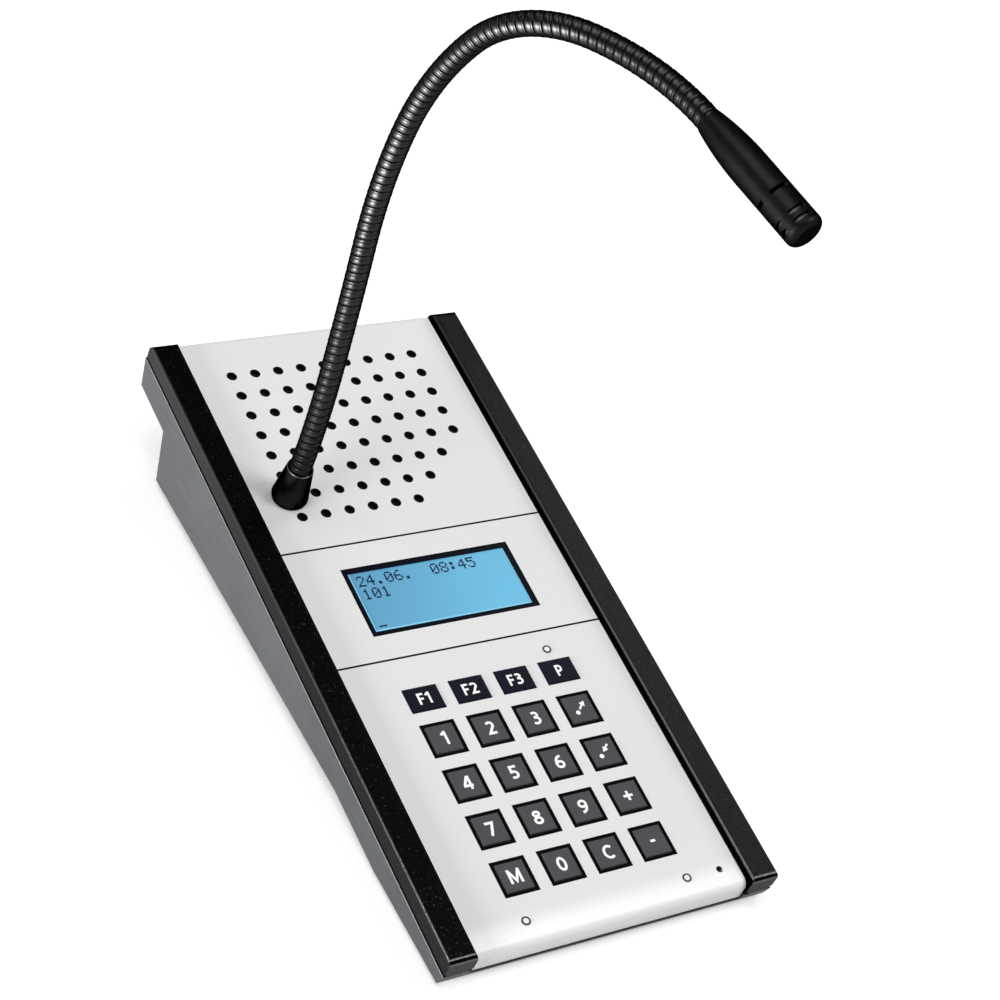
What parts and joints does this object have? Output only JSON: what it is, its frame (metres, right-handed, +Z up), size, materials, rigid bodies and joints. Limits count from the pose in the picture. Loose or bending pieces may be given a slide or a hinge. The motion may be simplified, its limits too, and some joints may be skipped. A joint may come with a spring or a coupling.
{
  "type": "desk intercom station",
  "caption": "Sloping desk intercom station with loudspeaker holes, a backlit display, a square-key keypad and a microphone on a bendable gooseneck.",
  "frame": {"origin": "on the desk plane, at the middle of the length and width of the station", "axes": "+Z up from the desk, +Y from the low front edge to the high rear, +X to the right as seen by the person at the keys"},
  "size_m": [0.1248, 0.2582, 0.246],
  "materials": {
    "housing_grey": "satin, slate grey",
    "cover_grey": "satin",
    "plate": "satin, light grey",
    "rail_black": "fine grain",
    "screw_steel": "plain",
    "cloth": "fine weave",
    "basket": "satin",
    "paper_cone": "matt paper",
    "magnet": "plain",
    "bezel": "satin",
    "display_glass": "clear over a blue screen",
    "backlight": "diffusing",
    "circuit_board": "satin",
    "key_black": "satin",
    "grey_key": "satin",
    "function_key": "satin",
    "part_black": "satin",
    "lens": "milky",
    "capsule": "satin",
    "foot_rubber": "matt",
    "neck_black": "semi-gloss",
    "nut_steel": "plain",
    "core_steel": "dull",
    "head_black": "semi-gloss"
  },
  "bodies": {
    "station": {"small_screws": "screw_steel", "keypad_panel": "plate", "display_panel": "plate", "speaker_panel": "plate", "rail_right": "rail_black", "rail_left": "rail_black", "housing_screws": "screw_steel", "base_cover": "cover_grey", "housing": "housing_grey", "line_socket": "part_black", "main_board": "circuit_board", "board_parts": "part_black", "key_guide": "key_black", "key_switches": "part_black", "keypad_board": "circuit_board", "lamp_rings": "part_black", "indicator_lamps": "lens", "talk_microphone": "capsule", "display_bezel": "bezel", "display_glass": "display_glass", "display_backlight": "backlight", "display_board": "circuit_board", "speaker_nuts": "screw_steel", "speaker_cloth": "cloth", "speaker_basket": "basket", "speaker_magnet": "magnet", "speaker_cone": "paper_cone", "neck_ferrule": "neck_black", "neck_nut": "nut_steel", "neck_stretch_1": "neck_black", "neck_core": "core_steel", "feet": "foot_rubber"},
    "button_f1": {"key_f1": "function_key"},
    "button_1": {"key_1": "grey_key"},
    "button_4": {"key_4": "grey_key"},
    "button_7": {"key_7": "grey_key"},
    "button_m": {"key_m": "grey_key"},
    "button_f2": {"key_f2": "function_key"},
    "button_2": {"key_2": "grey_key"},
    "button_5": {"key_5": "grey_key"},
    "button_8": {"key_8": "grey_key"},
    "button_0": {"key_0": "grey_key"},
    "button_f3": {"key_f3": "function_key"},
    "button_3": {"key_3": "grey_key"},
    "button_6": {"key_6": "grey_key"},
    "button_9": {"key_9": "grey_key"},
    "button_c": {"key_c": "grey_key"},
    "button_p": {"key_p": "function_key"},
    "button_arrow_out": {"key_arrow_out": "grey_key"},
    "button_arrow_in": {"key_arrow_in": "grey_key"},
    "button_plus": {"key_plus": "grey_key"},
    "button_minus": {"key_minus": "grey_key"},
    "neck_2": {"neck_stretch_2": "neck_black"},
    "neck_3": {"neck_stretch_3": "neck_black"},
    "neck_4": {"neck_stretch_4": "neck_black"},
    "neck_5": {"neck_stretch_5": "neck_black"},
    "neck_6": {"neck_stretch_6": "neck_black", "mic_body": "head_black", "mic_cage": "head_black", "mic_capsule": "capsule"}
  },
  "joints": [
    {"name": "press_f1", "type": "slide", "parent": "station", "child": "button_f1", "axis": [0, 0.1219, -0.9925], "range_m": [0, 0.0008], "stiffness_N_per_m": 150, "springref_m": -0.002},
    {"name": "press_1", "type": "slide", "parent": "station", "child": "button_1", "axis": [0, 0.1219, -0.9925], "range_m": [0, 0.0008], "stiffness_N_per_m": 150, "springref_m": -0.002},
    {"name": "press_4", "type": "slide", "parent": "station", "child": "button_4", "axis": [0, 0.1219, -0.9925], "range_m": [0, 0.0008], "stiffness_N_per_m": 150, "springref_m": -0.002},
    {"name": "press_7", "type": "slide", "parent": "station", "child": "button_7", "axis": [0, 0.1219, -0.9925], "range_m": [0, 0.0008], "stiffness_N_per_m": 150, "springref_m": -0.002},
    {"name": "press_m", "type": "slide", "parent": "station", "child": "button_m", "axis": [0, 0.1219, -0.9925], "range_m": [0, 0.0008], "stiffness_N_per_m": 150, "springref_m": -0.002},
    {"name": "press_f2", "type": "slide", "parent": "station", "child": "button_f2", "axis": [0, 0.1219, -0.9925], "range_m": [0, 0.0008], "stiffness_N_per_m": 150, "springref_m": -0.002},
    {"name": "press_2", "type": "slide", "parent": "station", "child": "button_2", "axis": [0, 0.1219, -0.9925], "range_m": [0, 0.0008], "stiffness_N_per_m": 150, "springref_m": -0.002},
    {"name": "press_5", "type": "slide", "parent": "station", "child": "button_5", "axis": [0, 0.1219, -0.9925], "range_m": [0, 0.0008], "stiffness_N_per_m": 150, "springref_m": -0.002},
    {"name": "press_8", "type": "slide", "parent": "station", "child": "button_8", "axis": [0, 0.1219, -0.9925], "range_m": [0, 0.0008], "stiffness_N_per_m": 150, "springref_m": -0.002},
    {"name": "press_0", "type": "slide", "parent": "station", "child": "button_0", "axis": [0, 0.1219, -0.9925], "range_m": [0, 0.0008], "stiffness_N_per_m": 150, "springref_m": -0.002},
    {"name": "press_f3", "type": "slide", "parent": "station", "child": "button_f3", "axis": [0, 0.1219, -0.9925], "range_m": [0, 0.0008], "stiffness_N_per_m": 150, "springref_m": -0.002},
    {"name": "press_3", "type": "slide", "parent": "station", "child": "button_3", "axis": [0, 0.1219, -0.9925], "range_m": [0, 0.0008], "stiffness_N_per_m": 150, "springref_m": -0.002},
    {"name": "press_6", "type": "slide", "parent": "station", "child": "button_6", "axis": [0, 0.1219, -0.9925], "range_m": [0, 0.0008], "stiffness_N_per_m": 150, "springref_m": -0.002},
    {"name": "press_9", "type": "slide", "parent": "station", "child": "button_9", "axis": [0, 0.1219, -0.9925], "range_m": [0, 0.0008], "stiffness_N_per_m": 150, "springref_m": -0.002},
    {"name": "press_c", "type": "slide", "parent": "station", "child": "button_c", "axis": [0, 0.1219, -0.9925], "range_m": [0, 0.0008], "stiffness_N_per_m": 150, "springref_m": -0.002},
    {"name": "press_p", "type": "slide", "parent": "station", "child": "button_p", "axis": [0, 0.1219, -0.9925], "range_m": [0, 0.0008], "stiffness_N_per_m": 150, "springref_m": -0.002},
    {"name": "press_arrow_out", "type": "slide", "parent": "station", "child": "button_arrow_out", "axis": [0, 0.1219, -0.9925], "range_m": [0, 0.0008], "stiffness_N_per_m": 150, "springref_m": -0.002},
    {"name": "press_arrow_in", "type": "slide", "parent": "station", "child": "button_arrow_in", "axis": [0, 0.1219, -0.9925], "range_m": [0, 0.0008], "stiffness_N_per_m": 150, "springref_m": -0.002},
    {"name": "press_plus", "type": "slide", "parent": "station", "child": "button_plus", "axis": [0, 0.1219, -0.9925], "range_m": [0, 0.0008], "stiffness_N_per_m": 150, "springref_m": -0.002},
    {"name": "press_minus", "type": "slide", "parent": "station", "child": "button_minus", "axis": [0, 0.1219, -0.9925], "range_m": [0, 0.0008], "stiffness_N_per_m": 150, "springref_m": -0.002},
    {"name": "bend_1_forward", "type": "hinge", "parent": "station", "child": "neck_2", "pos_m": [-0.03506, 0.05415, 0.0935], "axis": [0.9131, 0.3597, -0.192], "range_deg": [-25, 25], "deforming": ["neck_core"]},
    {"name": "bend_2_sideways", "type": "hinge", "parent": "neck_2", "child": "neck_3", "pos_m": [-0.02922, 0.06396, 0.13606], "axis": [-0.3936, 0.9018, -0.1783], "range_deg": [-25, 25], "deforming": ["neck_core"]},
    {"name": "bend_3_forward", "type": "hinge", "parent": "neck_3", "child": "neck_4", "pos_m": [-0.02428, 0.06653, 0.17949], "axis": [0.9309, 0.3641, -0.0297], "range_deg": [-25, 25], "deforming": ["neck_core"]},
    {"name": "bend_4_sideways", "type": "hinge", "parent": "neck_4", "child": "neck_5", "pos_m": [-0.01881, 0.05204, 0.22041], "axis": [-0.3044, 0.7862, 0.5378], "range_deg": [-25, 25], "deforming": ["neck_core"]},
    {"name": "bend_5_forward", "type": "hinge", "parent": "neck_5", "child": "neck_6", "pos_m": [-0.0013, 0.01999, 0.24177], "axis": [0.8196, 0.5612, -0.1153], "range_deg": [-25, 25], "deforming": ["neck_core"]}
  ]
}
